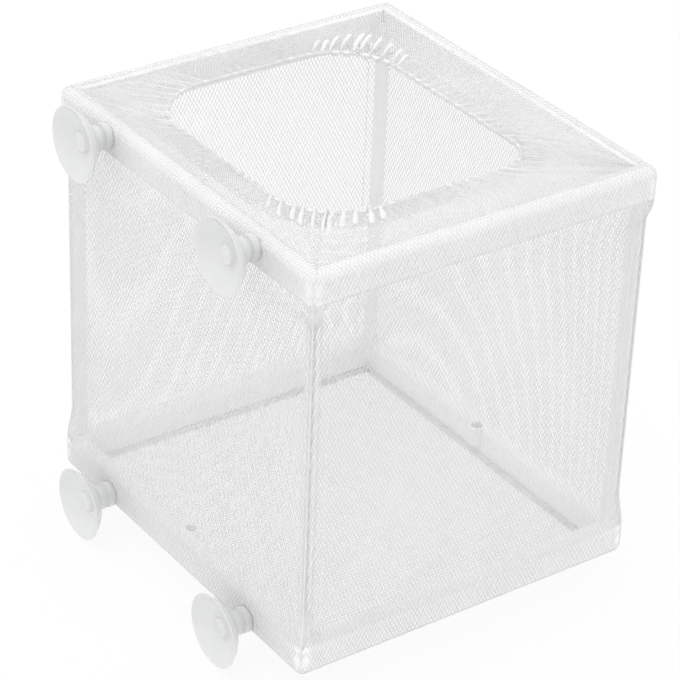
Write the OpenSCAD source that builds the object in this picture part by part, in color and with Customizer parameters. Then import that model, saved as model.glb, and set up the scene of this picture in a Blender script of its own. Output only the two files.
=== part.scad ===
// Net breeding box that hangs inside an aquarium.
// Four half frames plug together into a bottom and a top ring, four posts hold the
// rings apart, a sewn net bag is stretched over them, and four suction cups carry it.
// +X points away from the glass, +Y runs along the glass and +Z is up.
// The origin lies on the glass, midway between the four cups. Sizes are in mm.

/* [Box] */
// Depth of the box, away from the glass
box_x = 135; // [110:1:180]
// Width of the box, along the glass
box_y = 150; // [130:1:200]
// Height of the box
box_z = 150; // [110:1:190]
// Space between the glass and the outside of the net
glass_gap = 12.5; // [11:0.1:16]

/* [Frame rails] */
// Width of a rail, seen from above
rail_w = 6.2; // [6:0.1:8]
// Height of a rail
rail_h = 12.8; // [11:0.1:15]
// Rounding of the rail's long edges
rail_round = 3; // [1:0.1:3]
// Place along Y where the left and right half frames meet
seam_y = -2; // [-10:0.5:10]

/* [Plug joints] */
// Diameter of the spigot on the left half frame
spigot_d = 4.4; // [3.6:0.1:4.8]
// Length of the spigot
spigot_len = 12; // [8:0.5:18]
// Radial clearance of plug joints, posts and cup stems
fit = 0.05; // [0.02:0.01:0.1]
// Free length left at the closed end of a hole
end_gap = 0.5; // [0.2:0.1:1]
// Chamfer on the tips of spigots, posts and cup stems
tip_chamfer = 0.6; // [0.2:0.1:1]

/* [Posts and collars] */
// Diameter of a post
post_d = 5; // [4:0.1:5.4]
// Wall left under a post
post_floor = 1; // [0.8:0.1:1.5]
// Outer diameter of the collars in the corners
collar_d = 8; // [7.4:0.1:8.2]
// Distance of a post from the centre line of its rails, towards the inside
collar_inset = 1.2; // [0.6:0.1:1.4]
// Rise of a collar over its rail
collar_rise = 0.8; // [0.3:0.1:2]
// Depth of a collar's foot under the centre line of its rail
collar_drop = 1.5; // [1:0.1:3]
// Chamfer on both ends of a collar
collar_chamfer = 0.4; // [0.2:0.1:0.6]
// Outer diameter of the middle collars, which take a divider's posts
stub_d = 6; // [5.6:0.1:6.6]
// Distance of a middle collar from the centre line of its rail, towards the inside
stub_inset = 3.2; // [2:0.1:3.4]
// Depth of a middle collar's mouth under the top of its rail
stub_sink = 0.6; // [0:0.1:1]
// Bore of a middle collar
stub_bore_d = 4; // [3:0.1:4.2]
// Wall between the bore of a middle collar and the socket under it
stub_floor = 0.8; // [0.6:0.1:1.2]

/* [Net bag] */
// Thickness of the net
net_t = 0.5; // [0.3:0.1:0.8]
// Clearance between the net and what it lies on
net_clear = 0.1; // [0.05:0.05:0.2]
// Radial clearance of the net's eyelets round the cup stems
eyelet_clear = 0.5; // [0.3:0.1:1]
// Size of the mouth, away from the glass
mouth_x = 88; // [70:1:94]
// Size of the mouth, along the glass
mouth_y = 102; // [80:1:108]
// Corner radius of the mouth
mouth_r = 25; // [15:1:32]
// Offset of the mouth from the middle of the box, away from the glass
mouth_shift_x = -4; // [-5:0.5:5]
// Offset of the mouth from the middle of the box, along the glass
mouth_shift_y = 4; // [-5:0.5:5]
// Diameter of the elastic in the hem
elastic_d = 2; // [1:0.1:3]
// Depth of the crown of the hem under the top of the net
hem_tuck = 0.2; // [0.1:0.1:0.5]

/* [Suction cups] */
// Radius of the cup's rim
cup_r = 13; // [10:0.5:16]
// Height of the cup's dome over the glass
cup_dome = 7.2; // [6:0.1:8]
// Depth of the cup's hollow
cup_hollow = 4.6; // [3:0.1:5]
// Width of the flat lip of the rim
cup_lip = 0.4; // [0.2:0.1:0.8]
// Diameter of the neck behind the dome
neck_d = 9; // [7:0.1:11]
// Width of the groove round the neck
groove_w = 1.2; // [0.6:0.1:1.6]
// Depth of the groove round the neck
groove_depth = 1; // [0.4:0.1:1.4]
// Diameter of the stem that plugs into the rail
stem_d = 5; // [4:0.1:5.6]
// Length of the stem inside the rail
stem_len = 4.6; // [4:0.1:4.8]
// Diameter of the boss in the middle of the hollow
boss_d = 7; // [5:0.1:9]
// Distance of the boss from the glass
boss_gap = 2.6; // [1.5:0.1:3]
// Clearance between the neck and the net
neck_clear = 0.3; // [0.2:0.1:0.5]
// Distance of each cup from the end of the box, along the glass
cup_inset = 32; // [25:1:45]
// Distance of each cup from the centre line of its rail, away from the middle of the box
cup_shift = 1.8; // [1:0.1:2.4]

/* [Hidden] */
$fn = 64;

plastic = [0.93, 0.94, 0.94];
netting = [0.87, 0.88, 0.9, 0.7];
rubber = [0.97, 0.97, 0.97];
silicone = [0.84, 0.86, 0.88, 0.8];

// Outside of the net to the face of a rail.
skin = net_t + net_clear;
// Centre lines of the rails.
rail_x0 = glass_gap + skin + rail_w / 2;
rail_x1 = glass_gap + box_x - skin - rail_w / 2;
rail_y = box_y / 2 - skin - rail_w / 2;
rail_z = box_z / 2 - skin - rail_h / 2;
rail_outer = glass_gap + skin;

socket_d = spigot_d + 2 * fit;
socket_depth = spigot_len + end_gap;
post_bore_d = post_d + 2 * fit;
stem_bore_d = stem_d + 2 * fit;
stem_bore_depth = stem_len + end_gap;
cup_y = box_y / 2 - cup_inset;
cup_z = rail_z + cup_shift;

// Heights over the rail's centre line, and the place of the middle collars.
collar_top = rail_h / 2 + collar_rise;
post_bore_end = post_floor - collar_drop;
stub_top = rail_h / 2 - stub_sink;
stub_bore_end = socket_d / 2 + stub_floor;
stub_y = seam_y + stub_d / 2;

// Half the height of the net, the rounding of its inside and the hem round the elastic.
net_top = box_z / 2;
net_in_w = rail_w / 2 + net_clear;
net_in_r = rail_round + net_clear;
hem_bore_r = elastic_d / 2 + net_clear;
hem_r = hem_bore_r + net_t;
hem_z = net_top - hem_tuck - hem_r;
mouth_cx = glass_gap + box_x / 2 + mouth_shift_x;
mouth_cy = mouth_shift_y;

// Corners of the frame, the mouth's corner centres and the feet of the rails,
// counted from the left corner at the glass.
sign_x = [-1, 1, 1, -1];
sign_y = [-1, -1, 1, 1];
function frame_corner(i) = [sign_x[i] < 0 ? rail_x0 : rail_x1, sign_y[i] * rail_y];
function foot_corner(i) = frame_corner(i) - [sign_x[i], sign_y[i]] * rail_w / 2;
function post_place(i) = frame_corner(i) - [sign_x[i], sign_y[i]] * collar_inset;
function mouth_corner(i) = [
    mouth_cx + sign_x[i] * (mouth_x / 2 - mouth_r),
    mouth_cy + sign_y[i] * (mouth_y / 2 - mouth_r)
];

// Section of a rail, centred on its centre line.
module rail_section() {
    square([rail_w - 2 * rail_round, rail_h], center = true);
    square([rail_w, rail_h - 2 * rail_round], center = true);
    for (a = [-1, 1], b = [-1, 1])
        translate([a * (rail_w / 2 - rail_round), b * (rail_h / 2 - rail_round)])
            circle(r = rail_round);
}

// Outer half of the rail's section, for a turned corner.
module rail_half_section() {
    intersection() {
        rail_section();
        translate([0, -rail_h])
            square([rail_w, 2 * rail_h]);
    }
}

// Rod with a chamfered tip at its far end.
module tipped_rod(d, len) {
    cylinder(d = d, h = len - tip_chamfer);
    translate([0, 0, len - tip_chamfer])
        cylinder(d1 = d, d2 = d - 2 * tip_chamfer, h = tip_chamfer);
}

// Upright collar with chamfered ends, from under the centre line of its rail.
module collar(d, top) {
    end_d = d - 2 * collar_chamfer;
    translate([0, 0, -collar_drop])
        cylinder(d1 = end_d, d2 = d, h = collar_chamfer);
    translate([0, 0, collar_chamfer - collar_drop])
        cylinder(d = d, h = top + collar_drop - 2 * collar_chamfer);
    translate([0, 0, top - collar_chamfer])
        cylinder(d1 = d, d2 = end_d, h = collar_chamfer);
}

// Upright bore that ends at a height over the rail's centre line.
module collar_bore(d, end) {
    translate([0, 0, end])
        cylinder(d = d, h = collar_top - end + 1);
}

// Turned quarter at an outer corner of the frame, starting at angle a.
module turned_corner(a) {
    rotate([0, 0, a])
        rotate_extrude(angle = 90)
            rail_half_section();
}

// Cross rail with its two arms, lying round the rail's centre line.
// The left half ends in spigots, the right half in sockets with a middle collar beside each.
module half_frame(side) {
    arm_start = side < 0 ? -rail_y : seam_y;
    arm_end = side < 0 ? seam_y : rail_y;
    corners = side < 0 ? [0, 1] : [3, 2];
    difference() {
        union() {
            translate([rail_x0, side * rail_y, 0])
                rotate([90, 0, 90])
                    linear_extrude(rail_x1 - rail_x0)
                        rail_section();
            for (i = corners) {
                inward = -sign_x[i];
                translate([frame_corner(i)[0], arm_start, 0])
                    rotate([-90, 0, 0])
                        linear_extrude(arm_end - arm_start)
                            rail_section();
                translate(post_place(i))
                    collar(collar_d, collar_top);
                if (side < 0)
                    translate([frame_corner(i)[0], seam_y, 0])
                        rotate([-90, 0, 0])
                            tipped_rod(spigot_d, spigot_len);
                else
                    translate([frame_corner(i)[0] + inward * stub_inset, stub_y, 0])
                        collar(stub_d, stub_top);
            }
            translate([rail_x0, side * rail_y, 0])
                turned_corner(side < 0 ? 180 : 90);
            translate([rail_x1, side * rail_y, 0])
                turned_corner(side < 0 ? 270 : 0);
        }
        for (i = corners) {
            inward = -sign_x[i];
            translate(post_place(i))
                collar_bore(post_bore_d, post_bore_end);
            if (side > 0) {
                translate([frame_corner(i)[0], seam_y - 1, 0])
                    rotate([-90, 0, 0])
                        cylinder(d = socket_d, h = socket_depth + 1);
                translate([frame_corner(i)[0] + inward * stub_inset, stub_y, 0])
                    collar_bore(stub_bore_d, stub_bore_end);
            }
        }
        translate([rail_outer - 1, side * cup_y, -cup_shift])
            rotate([0, 90, 0])
                cylinder(d = stem_bore_d, h = stem_bore_depth + 1);
    }
}

module bottom_half(side) {
    color(plastic)
        translate([0, 0, -rail_z])
            half_frame(side);
}

module top_half(side) {
    color(plastic)
        translate([0, 0, rail_z])
            mirror([0, 0, 1])
                half_frame(side);
}

module frame_bottom_left() {
    bottom_half(-1);
}

module frame_bottom_right() {
    bottom_half(1);
}

module frame_top_left() {
    top_half(-1);
}

module frame_top_right() {
    top_half(1);
}

// Post between a bottom and a top corner, with chamfered ends.
module post(i) {
    half_len = rail_z - post_bore_end - end_gap;
    color(plastic)
        translate(post_place(i))
            for (m = [0, 1])
                mirror([0, 0, m])
                    tipped_rod(post_d, half_len);
}

module post_glass_left() {
    post(0);
}

module post_water_left() {
    post(1);
}

module post_water_right() {
    post(2);
}

module post_glass_right() {
    post(3);
}

// Upright slab with its two outer edges rounded, from the rail's centre line outwards.
module wrap_slab(w, half_h, r) {
    translate([0, -half_h])
        square([w - r, 2 * half_h]);
    translate([0, r - half_h])
        square([w, 2 * (half_h - r)]);
    for (m = [-1, 1])
        translate([w - r, m * (half_h - r)])
            circle(r = r);
}

// Section of the net where it wraps the outside of both rails.
module wrap_section() {
    intersection() {
        difference() {
            wrap_slab(net_in_w + net_t, net_top, net_in_r + net_t);
            wrap_slab(net_in_w, net_top - net_t, net_in_r);
        }
        translate([0, -box_z])
            square([box_x, 2 * box_z]);
    }
}

// Outline of the mouth.
module mouth_outline() {
    translate([mouth_cx, mouth_cy]) {
        square([mouth_x - 2 * mouth_r, mouth_y], center = true);
        square([mouth_x, mouth_y - 2 * mouth_r], center = true);
    }
    for (i = [0:3])
        translate(mouth_corner(i))
            circle(r = mouth_r);
}

// Carries a section once round the mouth, at the height of the hem.
module along_mouth() {
    for (i = [0:3]) {
        run = i % 2 == 0 ? mouth_x - 2 * mouth_r : mouth_y - 2 * mouth_r;
        translate([mouth_corner(i)[0], mouth_corner(i)[1], hem_z])
            rotate([0, 0, 90 * i]) {
                rotate([0, 0, 180])
                    rotate_extrude(angle = 90)
                        translate([mouth_r, 0])
                            children();
                translate([0, -mouth_r, 0])
                    rotate([90, 0, 90])
                        linear_extrude(run)
                            children();
            }
    }
}

// Share of side k in the top of the bag, between two corners and the mouth.
module flap_wedge(k) {
    j = (k + 1) % 4;
    polygon([frame_corner(k), frame_corner(j), mouth_corner(j), mouth_corner(k)]);
}

// Side k of the net: wall, wrap over both rails, flap to the mouth, hem and foot margin.
module net_side(k) {
    j = (k + 1) % 4;
    run = k % 2 == 0 ? rail_x1 - rail_x0 : 2 * rail_y;
    color(netting)
        union() {
            translate([frame_corner(k)[0], frame_corner(k)[1], 0])
                rotate([0, 0, 90 * k]) {
                    translate([run, 0, 0])
                        rotate([90, 0, -90])
                            linear_extrude(run)
                                wrap_section();
                    rotate([0, 0, 225])
                        rotate_extrude(angle = 45)
                            wrap_section();
                    translate([run, 0, 0])
                        rotate([0, 0, 270])
                            rotate_extrude(angle = 45)
                                wrap_section();
                }
            translate([0, 0, net_top - net_t])
                linear_extrude(net_t)
                    difference() {
                        flap_wedge(k);
                        mouth_outline();
                    }
            intersection() {
                along_mouth()
                    difference() {
                        circle(r = hem_r);
                        circle(r = hem_bore_r);
                    }
                linear_extrude(box_z)
                    flap_wedge(k);
            }
            translate([0, 0, -net_top])
                linear_extrude(net_t)
                    polygon([frame_corner(k), frame_corner(j), foot_corner(j), foot_corner(k)]);
        }
}

module net_left() {
    net_side(0);
}

module net_water() {
    net_side(1);
}

module net_right() {
    net_side(2);
}

// The side at the glass has an eyelet for each cup's stem.
module net_glass() {
    color(netting)
        difference() {
            net_side(3);
            for (y = [-1, 1], z = [-1, 1])
                translate([glass_gap - 1, y * cup_y, z * cup_z])
                    rotate([0, 90, 0])
                        cylinder(d = stem_d + 2 * eyelet_clear, h = net_t + 2);
        }
}

// Floor of the bag, sewn to the sides along the inner feet of the bottom rails.
module net_floor() {
    color(netting)
        translate([foot_corner(0)[0], foot_corner(0)[1], -net_top])
            cube([
                foot_corner(2)[0] - foot_corner(0)[0],
                foot_corner(2)[1] - foot_corner(0)[1],
                net_t
            ]);
}

module mouth_elastic() {
    color(rubber)
        along_mouth()
            circle(d = elastic_d);
}

// Bell of the cup as a half section: radius along X, distance from the glass along Y.
module cup_section() {
    neck_end = glass_gap - neck_clear;
    dome_r = (cup_r * cup_r + cup_dome * cup_dome) / (2 * cup_dome);
    lip_r = cup_r - cup_lip;
    hollow_r = (lip_r * lip_r + cup_hollow * cup_hollow) / (2 * cup_hollow);
    groove_mid = (cup_dome + neck_end) / 2;
    intersection() {
        difference() {
            translate([0, cup_dome - dome_r])
                circle(r = dome_r, $fn = 128);
            translate([0, cup_hollow - hollow_r])
                circle(r = hollow_r, $fn = 128);
        }
        square([cup_r, cup_dome]);
    }
    translate([0, boss_gap])
        square([boss_d / 2, cup_dome - boss_gap - 1]);
    difference() {
        translate([0, cup_hollow + 1])
            square([neck_d / 2, neck_end - cup_hollow - 1]);
        translate([neck_d / 2 - groove_depth, groove_mid - groove_w / 2])
            square([groove_depth + 1, groove_w]);
    }
}

// Suction cup with its stem in the rail, on the y side and z row given.
module cup(y, z) {
    color(silicone)
        translate([0, y * cup_y, z * cup_z])
            rotate([0, 90, 0])
                union() {
                    rotate_extrude()
                        cup_section();
                    translate([0, 0, glass_gap - neck_clear - 1])
                        tipped_rod(stem_d, skin + neck_clear + 1 + stem_len);
                }
}

module cup_top_left() {
    cup(-1, 1);
}

module cup_top_right() {
    cup(1, 1);
}

module cup_bottom_left() {
    cup(-1, -1);
}

module cup_bottom_right() {
    cup(1, -1);
}

frame_bottom_left();
frame_bottom_right();
frame_top_left();
frame_top_right();
post_glass_left();
post_glass_right();
post_water_left();
post_water_right();
net_floor();
net_glass();
net_water();
net_left();
net_right();
mouth_elastic();
cup_top_left();
cup_top_right();
cup_bottom_left();
cup_bottom_right();
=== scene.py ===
import math

import bpy
import numpy as np
from mathutils import Matrix, Vector


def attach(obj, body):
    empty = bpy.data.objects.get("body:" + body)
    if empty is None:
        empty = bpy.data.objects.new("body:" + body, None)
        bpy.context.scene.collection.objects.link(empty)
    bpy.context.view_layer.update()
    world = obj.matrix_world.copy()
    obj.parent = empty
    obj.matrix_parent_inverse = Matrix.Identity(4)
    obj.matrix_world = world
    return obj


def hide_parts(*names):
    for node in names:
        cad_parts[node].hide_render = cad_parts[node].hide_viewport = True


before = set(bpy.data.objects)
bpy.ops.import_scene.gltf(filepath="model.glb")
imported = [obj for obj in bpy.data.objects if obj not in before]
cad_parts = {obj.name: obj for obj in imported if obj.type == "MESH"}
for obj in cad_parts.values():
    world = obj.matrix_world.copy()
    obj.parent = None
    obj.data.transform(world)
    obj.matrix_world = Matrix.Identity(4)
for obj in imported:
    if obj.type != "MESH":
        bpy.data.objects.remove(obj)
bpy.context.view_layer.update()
scene = bpy.context.scene
scene.view_settings.view_transform = "Standard"
MM = 0.001

# Sizes in millimetres. Distances called e are counted outwards from a rail's centre line.
RAIL_X = (16.2, 143.8)          # centre lines of the rails, away from the glass
RAIL_Y = 71.3                   # centre line of the side rails
RAIL_ROUND = 3.0                # rounding of the rail's long edges
FLAT_E = 0.1                    # centre of that rounding, from the rail's centre line
FLAT_Z = 71.4                   # centre of that rounding, above the middle of the box
NET_LIE = 0.16                  # thread's centre over the rail's face
PITCH = 1.3                     # spacing of the slanting threads in the net
SLANT = math.radians(28)        # their angle to the upright
THREAD = 0.19                   # thickness of a thread
LAYER = 0.1                     # the net's second threads lie this far under the first
SEAM_E = -2.1                   # floor seam, under the rail's inner foot
SEAM_ROLL_E = -3.9              # rolled seam beside the rail's inner face
SEAM_ROLL_Z = -73.3             # and its height
STITCH_IN = 4.8                 # stitches beside a post, counted along the wall
STITCH_TOP = 61.0               # their reach over the middle of the box
WRAP_TURN = math.radians(20)    # how far the net follows the rail's inner rounding
POST_PULL = 1.75                # how far the net is drawn in against the posts
PULL_TOP = 61.5                 # height where it leaves the top ring
PULL_LOW = -64.6                # and where it meets the bottom ring
VALLEY = (0.5, 1.0, 1.0, 0.4)   # dip of each side's flap beside the top rail
MOUTH = (32.0, 120.0, -47.0, 55.0)      # mouth's edge line: low and high X, low and high Y
MOUTH_R = (25.0, 15.0, 24.0, 25.0)      # its corner radii, in the order of the corners
HEM_Z = 72.4                    # height of the elastic's centre
HEM_R = 0.9                     # net's thread round the elastic
ELASTIC_R = 0.6
CASING = 7.5                    # width of the doubled hem behind the elastic
CUP_Y = 43.0                    # cups' places along the glass
CUP_Z = 69.8                    # and over and under the middle of the box

# How the net hangs between the rings.
PULL_TOP_RUN = 6.0              # height over which it leaves the top ring
PULL_LOW_RUN = 16.0             # and over which it comes out to the bottom ring
PULL_FADE = 15.0                # how far from a post it is drawn in
SAG = 0.2                       # how far it lies inside the rails' faces
RIPPLE = 0.14                   # height of its ripples
RIPPLES = (38.0, 61.0)          # their lengths
RIPPLE_FADE = 20.0              # the posts flatten them this far
RIPPLE_LEAN = 0.4               # and they run at a slant

# How strongly the elastic gathers the net at each corner of the mouth, and between them.
GATHER = (1.0, 0.25, 0.9, 0.35)
GATHER_FADE = 4.5
GATHER_LEAST = 0.25
GATHER_MORE = 0.85
RIBS = (3.7, 4.9)               # spacing of the gathered ribs
RIB_RISE = 1.1
RIB_BUNCH = 0.35                # how far the threads slide towards a rib's crest
RIB_FADE = 9.0                  # how far the ribs run back from the hem
WAVES = (7.5, 11.0)             # spacing of the wider waves behind the ribs
WAVE_RISE = 0.25
WAVE_FADE = 12.0
VALLEY_WIDTH = 3.0              # distance of the flap's dip from the top rail
HEM_LIFT = 0.5                  # rise of the doubled hem's inner edge
FOLD_R = 1.3                    # half width of a fold that stands up beside the hem
FOLD_RISE = 0.9                 # and its height
FOLD_LEN = 16.0                 # and its length where the gathers are strongest
FOLD_START = 1.5                # it begins to rise this far from the hem
FOLD_RUN = 5.0                  # and takes this long to rise
FOLD_GATHER = 0.55              # folds stand up where the gathers are stronger than this
FOLD_THREADS = 17
FOOT_JITTER = 0.05              # share of the spacing by which a thread may be off its place

# The floor of the bag, the stitches and the seams.
FLOOR_LIFT = 0.1
FLOOR_RIPPLE = 0.12
FLOOR_RIPPLES = (40.0, 70.0)
STITCH_PITCH = 2.2
STITCH_LEN = 1.4
STITCH_BOW = 0.25
STITCH_LIE = 0.15
STITCH_THREAD = 0.35
SEAM_THREAD = 0.25
SEAM_HALF = 0.15                # half the distance between a corner seam's two core threads
SEAM_R = 0.3                    # radius and pitch of the thread wound round them
SEAM_PITCH = 1.5
ROLL_THREAD = 0.4
ROLL_HALF = 0.5                 # half the height of the floor seam's roll
ROLL_R = 0.95                   # radius and pitch of the thread wound round it
ROLL_PITCH = 1.1
PAINTED_LIGHT_LOW = 58.0                 # between these heights painted light fades in: towards the top ring the net is painted lighter and the plastic painted darker
PAINTED_LIGHT_HIGH = 66.0
GROUND_Z = -83.5
GROUND_HALF = 6000.0

CORNERS = np.array([
    (RAIL_X[0], -RAIL_Y), (RAIL_X[1], -RAIL_Y), (RAIL_X[1], RAIL_Y), (RAIL_X[0], RAIL_Y)])
ALONG = np.array([(1.0, 0.0), (0.0, 1.0), (-1.0, 0.0), (0.0, -1.0)])
OUT = np.array([(0.0, -1.0), (1.0, 0.0), (0.0, 1.0), (-1.0, 0.0)])
SIDE_NAMES = ("left", "water", "right", "glass")
CORNER_NAMES = ("glass_left", "water_left", "water_right", "glass_right")


# Materials
def new_group(name, inputs, outputs):
    """Empty shader group with the given sockets."""
    tree = bpy.data.node_groups.new(name, "ShaderNodeTree")
    for label, kind, value in inputs:
        socket = tree.interface.new_socket(label, in_out="INPUT", socket_type=kind)
        if value is not None:
            socket.default_value = value
    for label, kind in outputs:
        tree.interface.new_socket(label, in_out="OUTPUT", socket_type=kind)
    return tree, tree.nodes.new("NodeGroupInput"), tree.nodes.new("NodeGroupOutput")


def mottle_group():
    """Soft tone and height that vary over a surface at two scales."""
    tree, given, put = new_group(
        "mottle",
        [("Vector", "NodeSocketVector", None), ("Coarse", "NodeSocketFloat", 120.0),
         ("Fine", "NodeSocketFloat", 2500.0), ("Low", "NodeSocketFloat", 0.95),
         ("High", "NodeSocketFloat", 1.0)],
        [("Tone", "NodeSocketFloat"), ("Height", "NodeSocketFloat")])
    coarse = tree.nodes.new("ShaderNodeTexNoise")
    fine = tree.nodes.new("ShaderNodeTexNoise")
    spread = tree.nodes.new("ShaderNodeMapRange")
    spread.inputs["From Min"].default_value = 0.3
    spread.inputs["From Max"].default_value = 0.7
    for noise, scale in ((coarse, "Coarse"), (fine, "Fine")):
        tree.links.new(given.outputs["Vector"], noise.inputs["Vector"])
        tree.links.new(given.outputs[scale], noise.inputs["Scale"])
        noise.inputs["Detail"].default_value = 3.0
    tree.links.new(coarse.outputs["Fac"], spread.inputs["Value"])
    tree.links.new(given.outputs["Low"], spread.inputs["To Min"])
    tree.links.new(given.outputs["High"], spread.inputs["To Max"])
    tree.links.new(spread.outputs["Result"], put.inputs["Tone"])
    tree.links.new(fine.outputs["Fac"], put.inputs["Height"])
    return tree


MOTTLE = mottle_group()
ROUGH_SPREAD = 0.15             # share by which a surface's roughness varies
RELIEF = 0.1 * MM               # height of its relief


def finish_material(name, colour, rough, low, high, coarse, fine, bump, alpha=1.0):
    """Principled material whose colour, roughness and relief follow the mottle."""
    mat = bpy.data.materials.new(name)
    mat.use_nodes = True
    tree = mat.node_tree
    shader = tree.nodes["Principled BSDF"]
    place = tree.nodes.new("ShaderNodeTexCoord")
    mottle = tree.nodes.new("ShaderNodeGroup")
    mottle.node_tree = MOTTLE
    mottle.inputs["Coarse"].default_value = coarse
    mottle.inputs["Fine"].default_value = fine
    mottle.inputs["Low"].default_value = low
    mottle.inputs["High"].default_value = high
    tree.links.new(place.outputs["Object"], mottle.inputs["Vector"])
    tint = tree.nodes.new("ShaderNodeVectorMath")
    tint.operation = "SCALE"
    tint.inputs[0].default_value = colour
    tree.links.new(mottle.outputs["Tone"], tint.inputs["Scale"])
    tree.links.new(tint.outputs[0], shader.inputs["Base Color"])
    matt = tree.nodes.new("ShaderNodeMapRange")
    matt.inputs["To Min"].default_value = rough * (1 - ROUGH_SPREAD)
    matt.inputs["To Max"].default_value = rough * (1 + ROUGH_SPREAD)
    tree.links.new(mottle.outputs["Height"], matt.inputs["Value"])
    tree.links.new(matt.outputs["Result"], shader.inputs["Roughness"])
    relief = tree.nodes.new("ShaderNodeBump")
    relief.inputs["Strength"].default_value = bump
    relief.inputs["Distance"].default_value = RELIEF
    tree.links.new(mottle.outputs["Height"], relief.inputs["Height"])
    tree.links.new(relief.outputs["Normal"], shader.inputs["Normal"])
    shader.inputs["Alpha"].default_value = alpha
    return mat


PLASTIC = finish_material(
    "moulded white plastic", colour=(0.95, 0.95, 0.952), rough=0.38, low=0.96, high=1.0,
    coarse=90.0, fine=1800.0, bump=0.15)
NYLON = finish_material(
    "white nylon thread", colour=(0.885, 0.885, 0.888), rough=0.5, low=0.96, high=1.0,
    coarse=60.0, fine=4000.0, bump=0.1)
SEWING = finish_material(
    "white sewing thread", colour=(0.94, 0.94, 0.94), rough=0.6, low=0.94, high=1.0,
    coarse=200.0, fine=6000.0, bump=0.2)
ELASTIC = finish_material(
    "covered elastic", colour=(0.93, 0.93, 0.93), rough=0.7, low=0.95, high=1.0,
    coarse=300.0, fine=5000.0, bump=0.4)
SILICONE = finish_material(
    "milky silicone", colour=(0.83, 0.835, 0.84), rough=0.2, low=0.97, high=1.0,
    coarse=70.0, fine=1500.0, bump=0.03, alpha=0.8)


def paint_light_by_height(mat, low, high, gain):
    """Paints light or shade by height: between two heights the material's tone changes smoothly to
    gain times what it is.
    """
    tree = mat.node_tree
    place = next(n for n in tree.nodes if n.bl_idname == "ShaderNodeTexCoord")
    tint = next(n for n in tree.nodes if n.bl_idname == "ShaderNodeVectorMath")
    tone = tint.inputs["Scale"].links[0].from_socket
    parts = tree.nodes.new("ShaderNodeSeparateXYZ")
    rise = tree.nodes.new("ShaderNodeMapRange")
    rise.inputs["From Min"].default_value = low * MM
    rise.inputs["From Max"].default_value = high * MM
    rise.inputs["To Min"].default_value = 1.0
    rise.inputs["To Max"].default_value = gain
    product = tree.nodes.new("ShaderNodeMath")
    product.operation = "MULTIPLY"
    tree.links.new(place.outputs["Object"], parts.inputs["Vector"])
    tree.links.new(parts.outputs["Z"], rise.inputs["Value"])
    tree.links.new(rise.outputs["Result"], product.inputs[0])
    tree.links.new(tone, product.inputs[1])
    tree.links.new(product.outputs[0], tint.inputs["Scale"])


# Painted light: the threads over the top ring and the flaps are painted lighter, standing in for the
# light they lose by shading one another.
paint_light_by_height(NYLON, PAINTED_LIGHT_LOW, PAINTED_LIGHT_HIGH, 1.095)
# Painted shade: the top ring's plastic is painted darker, to tone down where the lamp lights its crown
# from above.
paint_light_by_height(PLASTIC, PAINTED_LIGHT_LOW, PAINTED_LIGHT_HIGH, 0.93)


# Threads swept along lines
def thread_tree():
    """Turns the edges of a mesh into round threads."""
    tree = bpy.data.node_groups.new("threads along lines", "GeometryNodeTree")
    for label, kind in (("Geometry", "NodeSocketGeometry"), ("Thickness", "NodeSocketFloat"),
                        ("Sides", "NodeSocketInt"), ("Material", "NodeSocketMaterial")):
        tree.interface.new_socket(label, in_out="INPUT", socket_type=kind)
    tree.interface.new_socket("Geometry", in_out="OUTPUT", socket_type="NodeSocketGeometry")
    given = tree.nodes.new("NodeGroupInput")
    put = tree.nodes.new("NodeGroupOutput")
    lines = tree.nodes.new("GeometryNodeMeshToCurve")
    section = tree.nodes.new("GeometryNodeCurvePrimitiveCircle")
    half = tree.nodes.new("ShaderNodeMath")
    half.operation = "MULTIPLY"
    half.inputs[1].default_value = 0.5
    sweep = tree.nodes.new("GeometryNodeCurveToMesh")
    sweep.inputs["Fill Caps"].default_value = True
    smooth = tree.nodes.new("GeometryNodeSetShadeSmooth")
    real = tree.nodes.new("GeometryNodeRealizeInstances")
    dress = tree.nodes.new("GeometryNodeSetMaterial")
    link = tree.links.new
    link(given.outputs["Geometry"], lines.inputs["Mesh"])
    link(given.outputs["Thickness"], half.inputs[0])
    link(half.outputs[0], section.inputs["Radius"])
    link(given.outputs["Sides"], section.inputs["Resolution"])
    link(lines.outputs["Curve"], sweep.inputs["Curve"])
    link(section.outputs["Curve"], sweep.inputs["Profile Curve"])
    link(sweep.outputs["Mesh"], smooth.inputs["Geometry"])
    link(smooth.outputs["Geometry"], real.inputs["Geometry"])
    link(real.outputs["Geometry"], dress.inputs["Geometry"])
    link(given.outputs["Material"], dress.inputs["Material"])
    link(dress.outputs["Geometry"], put.inputs["Geometry"])
    return tree


THREADS = thread_tree()


def thread_piece(name, lines, thickness, material, sides):
    """One piece of round threads along the given lines of points, in millimetres."""
    points = np.concatenate(lines) * MM
    edges, start = [], 0
    for line in lines:
        count = len(line)
        first = np.arange(start, start + count - 1)
        edges.append(np.stack([first, first + 1], axis=1))
        start += count
    edges = np.concatenate(edges)
    mesh = bpy.data.meshes.new(name)
    mesh.from_pydata(points.tolist(), edges.tolist(), [])
    piece = bpy.data.objects.new(name, mesh)
    scene.collection.objects.link(piece)
    mod = piece.modifiers.new("threads", "NODES")
    mod.node_group = THREADS
    ids = {s.name: s.identifier for s in THREADS.interface.items_tree if s.in_out == "INPUT"}
    mod[ids["Thickness"]] = thickness * MM
    mod[ids["Sides"]] = sides
    mod[ids["Material"]] = material
    graph = bpy.context.evaluated_depsgraph_get()
    done = bpy.data.meshes.new_from_object(piece.evaluated_get(graph))
    piece.modifiers.clear()
    piece.data = done
    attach(piece, "box")
    return piece


# Shape of the net
def smooth_step(x):
    """Goes smoothly from 0 to 1 as x does."""
    x = np.clip(x, 0.0, 1.0)
    return x * x * (3 - 2 * x)


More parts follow.
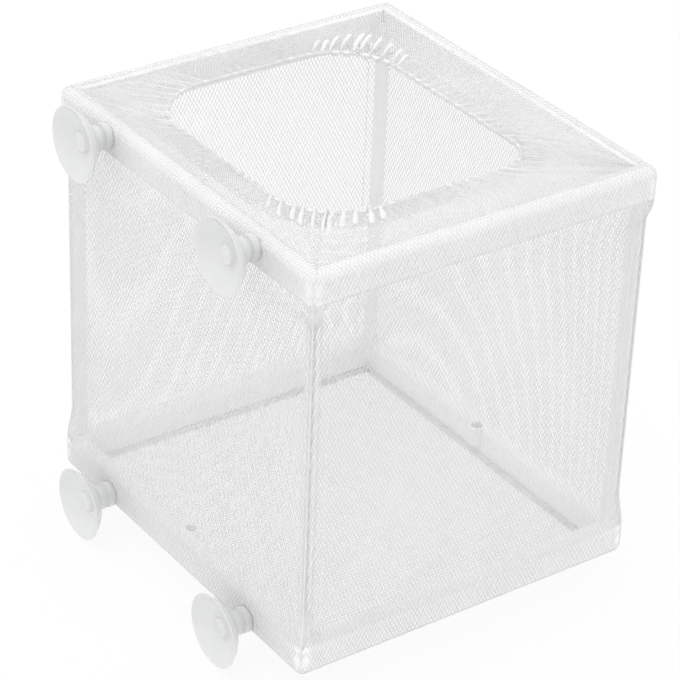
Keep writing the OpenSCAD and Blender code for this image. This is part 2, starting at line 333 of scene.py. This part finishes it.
def side_length(i):
    """Length of side i between the centre lines of its rails."""
    return float(np.linalg.norm(CORNERS[(i + 1) % 4] - CORNERS[i]))


NET_R = RAIL_ROUND + NET_LIE
NET_E = FLAT_E + NET_R
NET_Z = FLAT_Z + NET_R
HALF_TURN = NET_E * math.pi / 4


def plan(i, s, e):
    """Plan place on side i: s runs along the side, e is the distance outside the rail's line."""
    run = side_length(i)
    here, there, d, n = CORNERS[i], CORNERS[(i + 1) % 4], ALONG[i], OUT[i]
    s, e = np.broadcast_arrays(np.asarray(s, float), np.asarray(e, float))
    inner = np.minimum(e, 0.0)
    mid = -inner + (run + 2 * inner) * np.clip(s, 0, run) / run
    turn = (np.minimum(s, 0) / HALF_TURN + np.maximum(s - run, 0) / HALF_TURN) * math.pi / 4
    turn = np.where(e < 0, 0.0, turn)
    along = mid + np.maximum(e, 0) * np.sin(turn)
    out = np.where(e < 0, e, e * np.cos(turn))
    return here + along[..., None] * d + out[..., None] * n


def mouth_corner(i):
    """Middle of the mouth's corner arc i."""
    x = MOUTH[0] + MOUTH_R[i] if i in (0, 3) else MOUTH[1] - MOUTH_R[i]
    y = MOUTH[2] + MOUTH_R[i] if i in (0, 1) else MOUTH[3] - MOUTH_R[i]
    return np.array([x, y])


def hem_run(i, count=400):
    """Evenly spaced points of side i's share of the mouth's edge, with their outward ways."""
    a, b = i, (i + 1) % 4
    qa, qb = mouth_corner(a), mouth_corner(b)
    normal = math.atan2(OUT[i][1], OUT[i][0])
    first = math.atan2(*(CORNERS[a] - qa)[::-1])
    last = math.atan2(*(CORNERS[b] - qb)[::-1])
    first = normal - ((normal - first) % (2 * math.pi))
    last = normal + ((last - normal) % (2 * math.pi))
    start = [(qa + MOUTH_R[a] * np.array([math.cos(t), math.sin(t)]), t)
             for t in np.linspace(first, normal, 60)]
    end = [(qb + MOUTH_R[b] * np.array([math.cos(t), math.sin(t)]), t)
           for t in np.linspace(normal, last, 60)]
    places = np.array([p for p, t in start + end])
    ways = np.array([t for p, t in start + end])
    steps = np.concatenate([[0], np.cumsum(np.linalg.norm(np.diff(places, axis=0), axis=1))])
    even = np.linspace(0, steps[-1], count)
    x, y, way = (np.interp(even, steps, v) for v in (places[:, 0], places[:, 1], ways))
    return np.stack([x, y], axis=1), np.stack([np.cos(way), np.sin(way)], axis=1), steps[-1]


HEMS = [hem_run(i) for i in range(4)]


def hem_at(i, share):
    """Place on side i's share of the hem, and the way out of the mouth there."""
    places, ways, length = HEMS[i]
    at = np.linspace(0, 1, len(places))
    pick = lambda table: np.stack([np.interp(share, at, table[:, k]) for k in (0, 1)], axis=-1)
    return pick(places), pick(ways)


def waves(q, seed, lengths):
    """Irregular wave along q, made of a few sines whose phases the seed sets."""
    rng = np.random.default_rng(seed)
    total = 0.0
    for length in lengths:
        drift = rng.uniform(0.6, 1.2) * np.sin(q * 2 * math.pi / (length * 7.3) + rng.uniform(0, 6.28))
        total = total + np.sin(q * 2 * math.pi / length + drift * 2 + rng.uniform(0, 6.28))
    return total / len(lengths)


def gather_at(i, share):
    """Strength of the gathers along side i's share of the hem."""
    here, there = GATHER[i], GATHER[(i + 1) % 4]
    near = here * np.exp(-share * GATHER_FADE) + there * np.exp(-(1 - share) * GATHER_FADE)
    return GATHER_LEAST + GATHER_MORE * near


def bunched(i, share, fade):
    """Place along the hem after the threads have slid towards the ribs' crests."""
    length = HEMS[i][2]
    q = share * length + 300 * i
    near = 0.3
    slope = (waves(q + near, 3, RIBS) - waves(q - near, 3, RIBS)) / (2 * near)
    ends = smooth_step(np.minimum(share, 1 - share) * length / 3.0)
    return share + RIB_BUNCH * gather_at(i, share) * slope * fade * ends / length


def wall_offset(i, s, z):
    """How far outside the rail's line the net hangs between the rings."""
    run = side_length(i)
    near = np.maximum(np.minimum(s, run - s), 0.0)
    free = smooth_step((PULL_TOP - z) / PULL_TOP_RUN) * smooth_step((z - PULL_LOW) / PULL_LOW_RUN)
    ripple = RIPPLE * waves(s + z * RIPPLE_LEAN, 20 + i, RIPPLES)
    ripple = ripple * (1 - np.exp(-near / RIPPLE_FADE))
    return NET_E - free * (POST_PULL * np.exp(-near / PULL_FADE) + SAG + ripple)


# Lengths along the net from the floor seam to where it leaves the top rail, and that place.
FOOT = FLAT_E - SEAM_E
BEND = NET_R * math.pi / 2
WALL = 2 * FLAT_Z
WRAP = NET_R * WRAP_TURN
STAGES = np.cumsum([FOOT, BEND, WALL, BEND, 2 * FLAT_E, WRAP])
FLAP_E = -FLAT_E - NET_R * math.sin(WRAP_TURN)
FLAP_Z = FLAT_Z + NET_R * math.cos(WRAP_TURN)
REACH = 34.0                    # cut length of the flap, from the top rail to the hem
TURN = HEM_R * math.pi          # half a turn round the elastic


def lower_net(i, s, t):
    """Net from the floor seam up over the top rail: t is the length along it."""
    s, t = np.broadcast_arrays(np.asarray(s, float), np.asarray(t, float))
    low = (t - STAGES[0]) / NET_R
    up = t - STAGES[1] - FLAT_Z
    over = (t - STAGES[2]) / NET_R
    lean = (t - STAGES[4]) / NET_R
    stage = [t < end for end in STAGES[:5]]
    e = np.select(
        stage,
        [SEAM_E + t, FLAT_E + NET_R * np.sin(low), wall_offset(i, s, up),
         FLAT_E + NET_R * np.cos(over), FLAT_E - (t - STAGES[3])],
        -FLAT_E - NET_R * np.sin(lean))
    z = np.select(
        stage,
        [-NET_Z + 0 * t, -FLAT_Z - NET_R * np.cos(low), up, FLAT_Z + NET_R * np.sin(over),
         NET_Z + 0 * t],
        FLAT_Z + NET_R * np.cos(lean))
    return np.concatenate([plan(i, s, e), z[..., None]], axis=-1)


def flap_net(i, s, w):
    """Net from the top rail to the hem, w from 0 to 1."""
    s, w = np.broadcast_arrays(np.asarray(s, float), np.asarray(w, float))
    share = np.clip(s, 0, side_length(i)) / side_length(i)
    start = plan(i, s, np.full(s.shape, FLAP_E))
    straight, way = hem_at(i, share)
    left = np.linalg.norm(straight - start, axis=-1) * (1 - w)
    end, way = hem_at(i, bunched(i, share, np.exp(-left / RIB_FADE)))
    q = share * HEMS[i][2] + 300 * i
    place = start + (end - start) * w[..., None]
    inside = np.linalg.norm(end - start, axis=-1) * w / VALLEY_WIDTH
    fall = FLAP_Z + (HEM_Z + HEM_R - FLAP_Z) * w
    valley = -VALLEY[i] * inside * np.exp(1 - inside) * (1 - w)
    gather = gather_at(i, share)
    ribs = RIB_RISE * gather * waves(q, 3, RIBS) * np.exp(-left / RIB_FADE)
    wide = WAVE_RISE * gather * waves(q, 5, WAVES) * np.exp(-left / WAVE_FADE) * smooth_step(w * 4)
    z = fall + valley + ribs + wide
    return np.concatenate([place, z[..., None]], axis=-1)


def hem_net(i, s, t):
    """Net round the elastic and back under the flap: t is the length from the crown of the hem."""
    s, t = np.broadcast_arrays(np.asarray(s, float), np.asarray(t, float))
    share = np.clip(s, 0, side_length(i)) / side_length(i)
    end, way = hem_at(i, bunched(i, share, 1.0))
    q = share * HEMS[i][2] + 300 * i
    gather = gather_at(i, share)
    angle = np.minimum(t, TURN) / HEM_R
    inward = HEM_R * np.sin(angle)
    back = np.maximum(t - TURN, 0.0)
    rise = HEM_R * np.cos(angle)
    ribs = RIB_RISE * gather * waves(q, 3, RIBS)
    lift = HEM_LIFT * back / CASING
    z = HEM_Z + rise + ribs * np.where(t < TURN, np.abs(np.cos(angle)), 1.0) + lift
    place = end + way * (back - inward)[..., None]
    return np.concatenate([place, z[..., None]], axis=-1)


def fold_lines(i):
    """Threads of the folds that stand up where the hem is gathered most."""
    run, length = side_length(i), HEMS[i][2]
    share = np.linspace(0, 1, 2000)
    wave = waves(share * length + 300 * i, 3, RIBS)
    crest = (wave[1:-1] > wave[:-2]) & (wave[1:-1] > wave[2:])
    crest &= gather_at(i, share[1:-1]) > FOLD_GATHER
    rng = np.random.default_rng(60 + i)
    lines = []
    for middle in share[1:-1][crest]:
        reach = FOLD_LEN * gather_at(i, middle) * rng.uniform(0.75, 1.0)
        place, way = hem_at(i, middle)
        full = np.linalg.norm(place - plan(i, middle * run, FLAP_E))
        left = np.linspace(0, reach, 10)
        taper = smooth_step((left - FOLD_START) / FOLD_RUN) * np.sqrt(1 - left / reach)
        for off in np.linspace(-1, 1, FOLD_THREADS):
            s = (middle + off * FOLD_R * (0.4 + 0.6 * taper) / length) * run
            line = flap_net(i, s, 1 - left / full)
            line[:, 2] += FOLD_RISE * (math.sqrt(1 - 0.95 * off * off) - 0.2) * taper
            lines.append(line)
    return lines


def slanting_lines(width, height, gap):
    """Two families of straight slanting lines that fill a flat panel, as ends (s, t)."""
    step = gap / math.cos(SLANT)
    lean = height * math.tan(SLANT)
    rng = np.random.default_rng(7)
    for hand in (1, -1):
        feet = np.arange(-lean + step / 2, width, step)
        for foot in feet + rng.uniform(-FOOT_JITTER, FOOT_JITTER, len(feet)) * step:
            t0 = max(0.0, -foot) / math.tan(SLANT)
            t1 = min(height, (width - foot) / math.tan(SLANT))
            if t1 - t0 > gap:
                ends = (foot + t0 * math.tan(SLANT), foot + t1 * math.tan(SLANT))
                s0, s1 = ends if hand > 0 else (width - ends[0], width - ends[1])
                yield s0, t0, s1, t1


def net_point(i, s, t):
    """Place on the side's net, t counted from the floor seam to the end of the hem."""
    wrap_end, crown = STAGES[5], STAGES[5] + REACH
    return np.where(
        (t < wrap_end)[..., None], lower_net(i, s, t),
        np.where(
            (t < crown)[..., None], flap_net(i, s, np.clip((t - wrap_end) / REACH, 0, 1)),
            hem_net(i, s, t - crown)))


def net_outward(i, s, t):
    """Unit way out of the net's face."""
    near = 0.3
    wide = net_point(i, s + near, t) - net_point(i, s - near, t)
    tall = net_point(i, s, t + near) - net_point(i, s, t - near)
    out = np.cross(wide, tall)
    return out / (np.linalg.norm(out, axis=-1, keepdims=True) + 1e-9)


def net_side_lines(i):
    """Slanting threads from the floor seam to the top rail, on over the flap and round the hem."""
    run = side_length(i)
    width = run + 2 * HALF_TURN
    crown = STAGES[5] + REACH
    ends = (0, STAGES[0], STAGES[1], STAGES[2], STAGES[3], STAGES[5],
            crown, crown + TURN, crown + (TURN + CASING))
    counts = (3, 6, 26, 6, 5, 26, 6, 6)
    marks = [np.linspace(a, b, n)[:-1] for a, b, n in zip(ends, ends[1:], counts)]
    marks = np.concatenate(marks + [[ends[-1]]])
    lines = []
    for s0, t0, s1, t1 in slanting_lines(width, marks[-1], PITCH):
        t = np.concatenate([[t0], marks[(marks > t0 + 0.1) & (marks < t1 - 0.1)], [t1]])
        s = s0 + (s1 - s0) * (t - t0) / (t1 - t0) - HALF_TURN
        places = net_point(i, s, t)
        lines.append(places)
        lines.append(places - LAYER * net_outward(i, s, t))
    # Three threads sewn side by side along the hem's inner edge.
    dense = np.linspace(-HALF_TURN, run + HALF_TURN, 150)
    for aside in (0.0, 0.25, 0.5):
        lines.append(hem_net(i, dense, TURN + CASING + aside))
    return lines + fold_lines(i)


for i, side in enumerate(SIDE_NAMES):
    piece = thread_piece("net_side_" + side, net_side_lines(i), THREAD, NYLON, 3)
    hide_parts("net_" + side)


# Floor of the bag, a taut square of the same net
def floor_height(x, y):
    """Height of the floor's net, with its faint ripples."""
    return -NET_Z + FLOOR_LIFT + FLOOR_RIPPLE * waves(x + y * 0.3, 41, FLOOR_RIPPLES)


def floor_lines():
    """Slanting threads of the floor, between the seams under the rails."""
    x0, x1 = RAIL_X[0] - SEAM_E, RAIL_X[1] + SEAM_E
    y0, y1 = -RAIL_Y - SEAM_E, RAIL_Y + SEAM_E
    lines = []
    for s0, t0, s1, t1 in slanting_lines(x1 - x0, y1 - y0, PITCH):
        share = np.linspace(0, 1, 2 + int((t1 - t0) / 6))
        x = x0 + s0 + (s1 - s0) * share
        y = y0 + t0 + (t1 - t0) * share
        line = np.stack([x, y, floor_height(x, y)], axis=1)
        lines += [line, line + np.array([0.0, 0.0, LAYER])]
    return lines


floor_net = thread_piece("net_floor_panel", floor_lines(), THREAD, NYLON, 3)
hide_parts("net_floor")


# Stitches of the side panels beside the posts
def stitches(i, at_end):
    """Short stitches beside a post, on the wall's outer face."""
    s = side_length(i) - STITCH_IN if at_end else STITCH_IN
    lines = []
    for z in np.arange(-STITCH_TOP, STITCH_TOP, STITCH_PITCH):
        t = STAGES[1] + FLAT_Z + np.linspace(z, z + STITCH_LEN, 5)
        bow = STITCH_BOW * np.sin(np.linspace(0, math.pi, 5))
        line = lower_net(i, np.full(5, s), t)
        line[:, :2] += OUT[i] * (bow[:, None] + STITCH_LIE)
        lines.append(line)
    return lines


for i in (0, 2):
    for at_end in (False, True):
        corner = CORNER_NAMES[(i + 1) % 4 if at_end else i]
        thread_piece("stitches_" + corner, stitches(i, at_end), STITCH_THREAD, SEWING, 5)


# Seams and elastic
def overlock(path, radius, pitch, flat=0.6):
    """Stitch that winds round a seam's line."""
    path = np.asarray(path, float)
    steps = np.concatenate([[0], np.cumsum(np.linalg.norm(np.diff(path, axis=0), axis=1))])
    count = max(int(steps[-1] / pitch * 8), 8)
    at = np.linspace(0, steps[-1], count)
    line = np.stack([np.interp(at, steps, path[:, k]) for k in range(3)], axis=1)
    way = np.gradient(line, axis=0)
    way /= np.linalg.norm(way, axis=1)[:, None] + 1e-9
    steep = np.abs(way[:, 2:3]) > 0.8
    up = np.where(steep, np.array([[1.0, 1.0, 0.0]]), np.array([[0.0, 0.0, 1.0]]))
    a = np.cross(way, up)
    a /= np.linalg.norm(a, axis=1)[:, None] + 1e-9
    b = np.cross(way, a)
    turn = at / pitch * 2 * math.pi
    return line + radius * (np.cos(turn)[:, None] * a + flat * np.sin(turn)[:, None] * b)


def seam_path(i):
    """Corner seam i up the bag's edge, from the floor to the crown of the top rail."""
    return lower_net(i, -HALF_TURN, np.linspace(FOOT, STAGES[3], 70))


for i, corner in enumerate(CORNER_NAMES):
    path = seam_path(i)
    aside = np.array([SEAM_HALF, 0.0, 0.0])
    wound = overlock(path, SEAM_R, SEAM_PITCH)
    thread_piece("seam_" + corner, [path + aside, path - aside, wound], SEAM_THREAD, SEWING, 5)

foot = []
for i in range(4):
    s = np.linspace(0, side_length(i), 60)
    side = plan(i, s, np.full(s.shape, SEAM_ROLL_E))
    foot.append(np.concatenate([side, np.full((len(s), 1), SEAM_ROLL_Z)], axis=1))
foot = np.concatenate(foot + [foot[0][:1]])
drop = np.array([0, 0, ROLL_HALF])
wound = overlock(foot, ROLL_R, ROLL_PITCH, 1.0)
thread_piece("floor_seam", [foot - drop, foot, foot + drop, wound], ROLL_THREAD, SEWING, 5)


def mouth_loop(count=200):
    """Closed line of the mouth's edge."""
    loop = []
    for i in range(4):
        place, way = hem_at(i, np.linspace(0, 1, count))
        loop.append(np.concatenate([place, np.full((count, 1), HEM_Z)], axis=1)[:-1])
    loop = np.concatenate(loop)
    return np.concatenate([loop, loop[:1]])


elastic = thread_piece(
    "mouth_elastic_cord", [mouth_loop()], 2 * ELASTIC_R, ELASTIC, 10)
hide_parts("mouth_elastic")


# Suction cups
CUP_R = 13.0                    # radius of the rim
CUP_DOME = 7.2                  # height of the dome over the glass
LIP_R = 12.6                    # inner radius of the rim's lip
CUP_HOLLOW = 4.6                # depth of the hollow
BOSS_GAP = 2.5                  # distance of the boss in the hollow from the glass
BOSS_END = 4.3                  # radius where the boss's foot meets the hollow
RING_RISE = 0.12                # faint rings round the boss
RING_TURN = 2.6
RING_FADE = 5.0
NECK_R = 4.5
GROOVE_R = 3.5                  # bottom of the groove round the neck
NECK_END = 13.0                 # the neck ends at the net, and the stem goes on into the rail
STEM_R = 2.5
STEM_END = 17.7


def cup_outline():
    """Half section of a cup: distance from the glass and radius, from the boss to the stem."""
    bell_r = (CUP_R ** 2 + CUP_DOME ** 2) / (2 * CUP_DOME)
    hollow_r = (LIP_R ** 2 + CUP_HOLLOW ** 2) / (2 * CUP_HOLLOW)
    points = [(BOSS_GAP, 0.0), (BOSS_GAP, 1.2), (2.75, 1.6), (2.75, 2.0), (BOSS_GAP, 2.4),
              (BOSS_GAP, 2.9), (2.75, 3.3), (3.4, 3.5), (3.95, 3.7)]
    for r in np.linspace(BOSS_END, LIP_R, 16):
        out = r - BOSS_END
        ring = RING_RISE * math.sin(out * RING_TURN) * max(0.0, 1 - out / RING_FADE)
        points.append((CUP_HOLLOW - hollow_r + math.sqrt(hollow_r ** 2 - r * r) + ring, r))
    points += [(0.0, 12.8), (0.06, 12.96), (0.22, CUP_R), (0.45, 12.9)]
    for r in np.linspace(12.5, 4.9, 16):
        points.append((CUP_DOME - bell_r + math.sqrt(bell_r ** 2 - r * r), r))
    neck = [(6.75, 4.6), (7.1, NECK_R), (8.8, NECK_R), (9.1, 4.35)]
    groove = [(9.15, 3.6), (9.4, GROOVE_R), (10.1, GROOVE_R), (10.35, 3.6)]
    flange = [(10.4, 4.35), (10.7, NECK_R), (12.2, NECK_R), (12.9, 4.45), (NECK_END, 4.2)]
    stem = [(NECK_END, 2.6), (13.05, STEM_R), (17.1, STEM_R), (STEM_END, 1.9), (STEM_END, 0.0)]
    return points + neck + groove + flange + stem


def lathe(name, outline, place, material, body, turns=72):
    """Closed turned piece about a line along X through place."""
    verts, faces = [], []
    rings = [p for p in outline if p[1] > 0]
    for x, r in rings:
        for k in range(turns):
            a = 2 * math.pi * k / turns
            y, z = r * math.cos(a), r * math.sin(a)
            verts.append(((place[0] + x) * MM, (place[1] + y) * MM, (place[2] + z) * MM))
    for j in range(len(rings) - 1):
        for k in range(turns):
            n = (k + 1) % turns
            faces.append((j * turns + k, j * turns + n, (j + 1) * turns + n, (j + 1) * turns + k))
    for x, ring in ((outline[0][0], 0), (outline[-1][0], len(rings) - 1)):
        verts.append(((place[0] + x) * MM, place[1] * MM, place[2] * MM))
        mid = len(verts) - 1
        for k in range(turns):
            n = (k + 1) % turns
            pair = (ring * turns + k, ring * turns + n)
            faces.append((mid, pair[1], pair[0]) if ring == 0 else (mid, pair[0], pair[1]))
    mesh = bpy.data.meshes.new(name)
    mesh.from_pydata(verts, [], faces)
    mesh.validate()
    piece = bpy.data.objects.new(name, mesh)
    scene.collection.objects.link(piece)
    bpy.context.view_layer.objects.active = piece
    bpy.ops.object.select_all(action="DESELECT")
    piece.select_set(True)
    bpy.ops.object.mode_set(mode="EDIT")
    bpy.ops.mesh.select_all(action="SELECT")
    bpy.ops.mesh.normals_make_consistent(inside=False)
    bpy.ops.object.mode_set(mode="OBJECT")
    for face in mesh.polygons:
        face.use_smooth = True
    mesh.materials.append(material)
    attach(piece, body)
    return piece


for row, z in (("top", CUP_Z), ("bottom", -CUP_Z)):
    for hand, y in (("left", -CUP_Y), ("right", CUP_Y)):
        node = f"cup_{row}_{hand}"
        cup = lathe(f"suction_{row}_{hand}", cup_outline(), (0.0, y, z), SILICONE, node + "_body")
        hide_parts(node)

# Solids that stay as they were built
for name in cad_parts:
    if name.startswith(("frame_", "post_")):
        part = bpy.data.objects[name]
        part.data.materials.clear()
        part.data.materials.append(PLASTIC)

# Light, ground and camera
SKY_LIGHT = 1.08                # strength of the white surroundings as a light
LAMP_PLACE = (-0.35, 0.25, 1.25)
LAMP_TARGET = (0.08, 0.0, 0.0)
LAMP_SIZE = 0.9
LAMP_WATTS = 2.6
GROUND_GLOW = 0.85              # share of the ground's white that is its own
CAMERA_PLACE = (-0.416563, -0.680244, 0.50123)
CAMERA_TURN = (
    (0.8201983, 0.2717375, -0.5034217),
    (-0.5710927, 0.4405814, -0.6926335),
    (0.0335838, 0.8555973, 0.5165514))
FOCAL_PIXELS = 2909.46          # focal length in pixels of a picture 680 wide
PICTURE_WIDTH = 680
SENSOR = 36.0

world = bpy.data.worlds.new("studio")
scene.world = world
world.use_nodes = True
sky = world.node_tree
back = sky.nodes["Background"]
rays = sky.nodes.new("ShaderNodeLightPath")
seen_or_mirrored = sky.nodes.new("ShaderNodeMath")
seen_or_mirrored.operation = "MAXIMUM"
seen_anyhow = sky.nodes.new("ShaderNodeMath")
seen_anyhow.operation = "MAXIMUM"
level = sky.nodes.new("ShaderNodeMapRange")
level.inputs["To Min"].default_value = SKY_LIGHT
level.inputs["To Max"].default_value = 1.0
sky.links.new(rays.outputs["Is Camera Ray"], seen_or_mirrored.inputs[0])
sky.links.new(rays.outputs["Is Glossy Ray"], seen_or_mirrored.inputs[1])
sky.links.new(seen_or_mirrored.outputs[0], seen_anyhow.inputs[0])
sky.links.new(rays.outputs["Is Transmission Ray"], seen_anyhow.inputs[1])
sky.links.new(seen_anyhow.outputs[0], level.inputs["Value"])
sky.links.new(level.outputs["Result"], back.inputs["Strength"])
back.inputs["Color"].default_value = (1, 1, 1, 1)


def soft_lamp(name, place, target, size, watts):
    """Square lamp at a place, turned to a target."""
    lamp = bpy.data.lights.new(name, "AREA")
    lamp.shape = "SQUARE"
    lamp.size = size
    lamp.energy = watts
    thing = bpy.data.objects.new(name, lamp)
    scene.collection.objects.link(thing)
    thing.location = place
    thing.rotation_mode = "QUATERNION"
    thing.rotation_quaternion = (Vector(target) - Vector(place)).to_track_quat("-Z", "Y")


soft_lamp("key", LAMP_PLACE, LAMP_TARGET, LAMP_SIZE, LAMP_WATTS)

ground = bpy.data.meshes.new("ground")
square = ((-1, -1), (1, -1), (1, 1), (-1, 1))
ground.from_pydata(
    [(x * GROUND_HALF * MM, y * GROUND_HALF * MM, GROUND_Z * MM) for x, y in square],
    [], [(0, 1, 2, 3)])
ground = bpy.data.objects.new("ground", ground)
scene.collection.objects.link(ground)
paper = bpy.data.materials.new("white ground")
paper.use_nodes = True
tree = paper.node_tree
shader = tree.nodes["Principled BSDF"]
shader.inputs["Base Color"].default_value = (0.9, 0.9, 0.9, 1)
shader.inputs["Roughness"].default_value = 0.9
glow = tree.nodes.new("ShaderNodeEmission")
glow.inputs["Color"].default_value = (1, 1, 1, 1)
blend = tree.nodes.new("ShaderNodeMixShader")
blend.inputs["Fac"].default_value = GROUND_GLOW
tree.links.new(shader.outputs[0], blend.inputs[1])
tree.links.new(glow.outputs[0], blend.inputs[2])
tree.links.new(blend.outputs[0], tree.nodes["Material Output"].inputs["Surface"])
ground.data.materials.append(paper)

lens = bpy.data.cameras.new("camera")
lens.sensor_width = SENSOR
lens.lens = FOCAL_PIXELS / PICTURE_WIDTH * SENSOR
camera = bpy.data.objects.new("camera", lens)
scene.collection.objects.link(camera)
camera.matrix_world = Matrix.Translation(CAMERA_PLACE) @ Matrix(CAMERA_TURN).to_4x4()
scene.camera = camera
